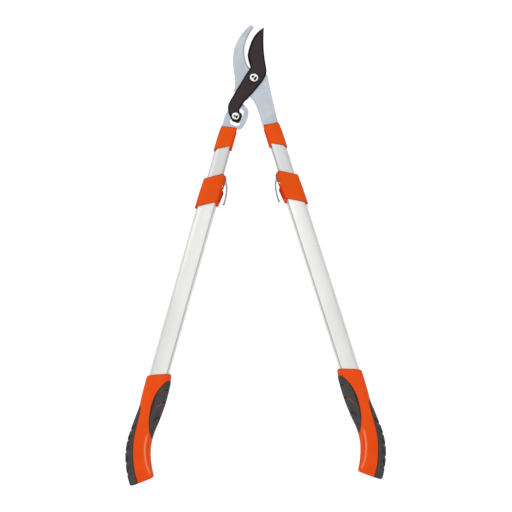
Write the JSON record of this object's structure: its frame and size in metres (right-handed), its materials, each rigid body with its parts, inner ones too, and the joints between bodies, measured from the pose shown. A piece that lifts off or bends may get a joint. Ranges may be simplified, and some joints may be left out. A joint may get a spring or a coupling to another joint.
{
  "type": "bypass loppers",
  "caption": "Telescopic two-handed bypass loppers: hooked counter blade, coated curved blade driven through a sliding block, locking extension tubes and curved soft-backed grips.",
  "frame": {"origin": "centre of the rest-pose bounding box in X and Y, at the lowest face of the tool lying flat on its side", "axes": "+Y runs along the tool towards the blade tip, +X towards the right handle, +Z through its thickness, with the coated blade uppermost"},
  "size_m": [0.4433, 0.783, 0.03],
  "materials": {
    "forged_steel": "satin ground and pale nickel plated",
    "blade_coating": "dark non-stick coating, satin",
    "bright_chrome": "polished",
    "black_steel": "blackened",
    "tube_aluminium": "silver powder coat, satin",
    "orange_plastic": "moulded, lightly satin",
    "black_rubber": "soft moulded, matt",
    "black_plastic": "moulded nylon"
  },
  "bodies": {
    "hook_and_right_arm": {"counter_blade": "forged_steel", "main_pivot_bolt": "bright_chrome", "main_pivot_washer": "black_steel", "main_pivot_nut": "bright_chrome", "tang_pivot_rivet": "bright_chrome", "right_tang_collar": "orange_plastic", "right_upper_tang_pin": "black_steel", "right_lower_tang_pin": "black_steel", "right_inner_tube": "tube_aluminium", "right_inner_tube_plug": "black_plastic"},
    "left_arm": {"left_tang": "forged_steel", "left_tang_collar": "orange_plastic", "left_upper_tang_pin": "black_steel", "left_lower_tang_pin": "black_steel", "left_inner_tube": "tube_aluminium", "left_inner_tube_plug": "black_plastic"},
    "blade": {"cutting_blade": "blade_coating", "slider_bolt": "bright_chrome", "slider_washer": "black_steel", "slider_nut": "bright_chrome"},
    "slider": {"slider_block": "black_plastic"},
    "left_handle": {"left_outer_tube": "tube_aluminium", "left_latch_collar": "orange_plastic", "left_latch_pin": "bright_chrome", "left_grip_body": "orange_plastic", "left_finger_pad": "black_rubber", "left_back_strip": "black_rubber"},
    "left_lever": {"left_latch_lever": "forged_steel", "left_lock_peg": "bright_chrome", "left_latch_spring": "bright_chrome"},
    "right_handle": {"right_outer_tube": "tube_aluminium", "right_latch_collar": "orange_plastic", "right_latch_pin": "bright_chrome", "right_grip_body": "orange_plastic", "right_finger_pad": "black_rubber", "right_back_strip": "black_rubber"},
    "right_lever": {"right_latch_lever": "forged_steel", "right_lock_peg": "bright_chrome", "right_latch_spring": "bright_chrome"}
  },
  "joints": [
    {"name": "left_handle_swing", "type": "hinge", "parent": "hook_and_right_arm", "child": "left_arm", "pos_m": [-0.0206, 0.2734, 0], "axis": [0, 0, -1], "range_deg": [-24, 52]},
    {"name": "blade_swing", "type": "hinge", "parent": "hook_and_right_arm", "child": "blade", "pos_m": [-0.0027, 0.3018, 0], "axis": [0, 0, -1], "range_deg": [-13.4, 28.9]},
    {"name": "slider_swivel", "type": "hinge", "parent": "blade", "child": "slider", "pos_m": [-0.0339, 0.2367, 0], "axis": [0, 0, -1], "range_deg": [-10.8, 23.4]},
    {"name": "left_telescope", "type": "slide", "parent": "left_arm", "child": "left_handle", "axis": [-0.2723, -0.9622, 0], "range_m": [-0.04, 0.2]},
    {"name": "right_telescope", "type": "slide", "parent": "hook_and_right_arm", "child": "right_handle", "axis": [0.3047, -0.9524, 0], "range_m": [-0.04, 0.2]},
    {"name": "left_lever_press", "type": "hinge", "parent": "left_handle", "child": "left_lever", "pos_m": [-0.05649, 0.11737, 0.015], "axis": [0, 0, -1], "range_deg": [0, 8], "stiffness_Nm_per_rad": 0.2, "springref_deg": -11.46},
    {"name": "right_lever_press", "type": "hinge", "parent": "right_handle", "child": "right_lever", "pos_m": [0.041, 0.12303, 0.015], "axis": [0, 0, 1], "range_deg": [0, 8], "stiffness_Nm_per_rad": 0.2, "springref_deg": -11.46}
  ],
  "couplings": [
    {"joint": "blade_swing", "follows": "left_handle_swing", "ratio": 0.553},
    {"joint": "slider_swivel", "follows": "left_handle_swing", "ratio": 0.447}
  ]
}
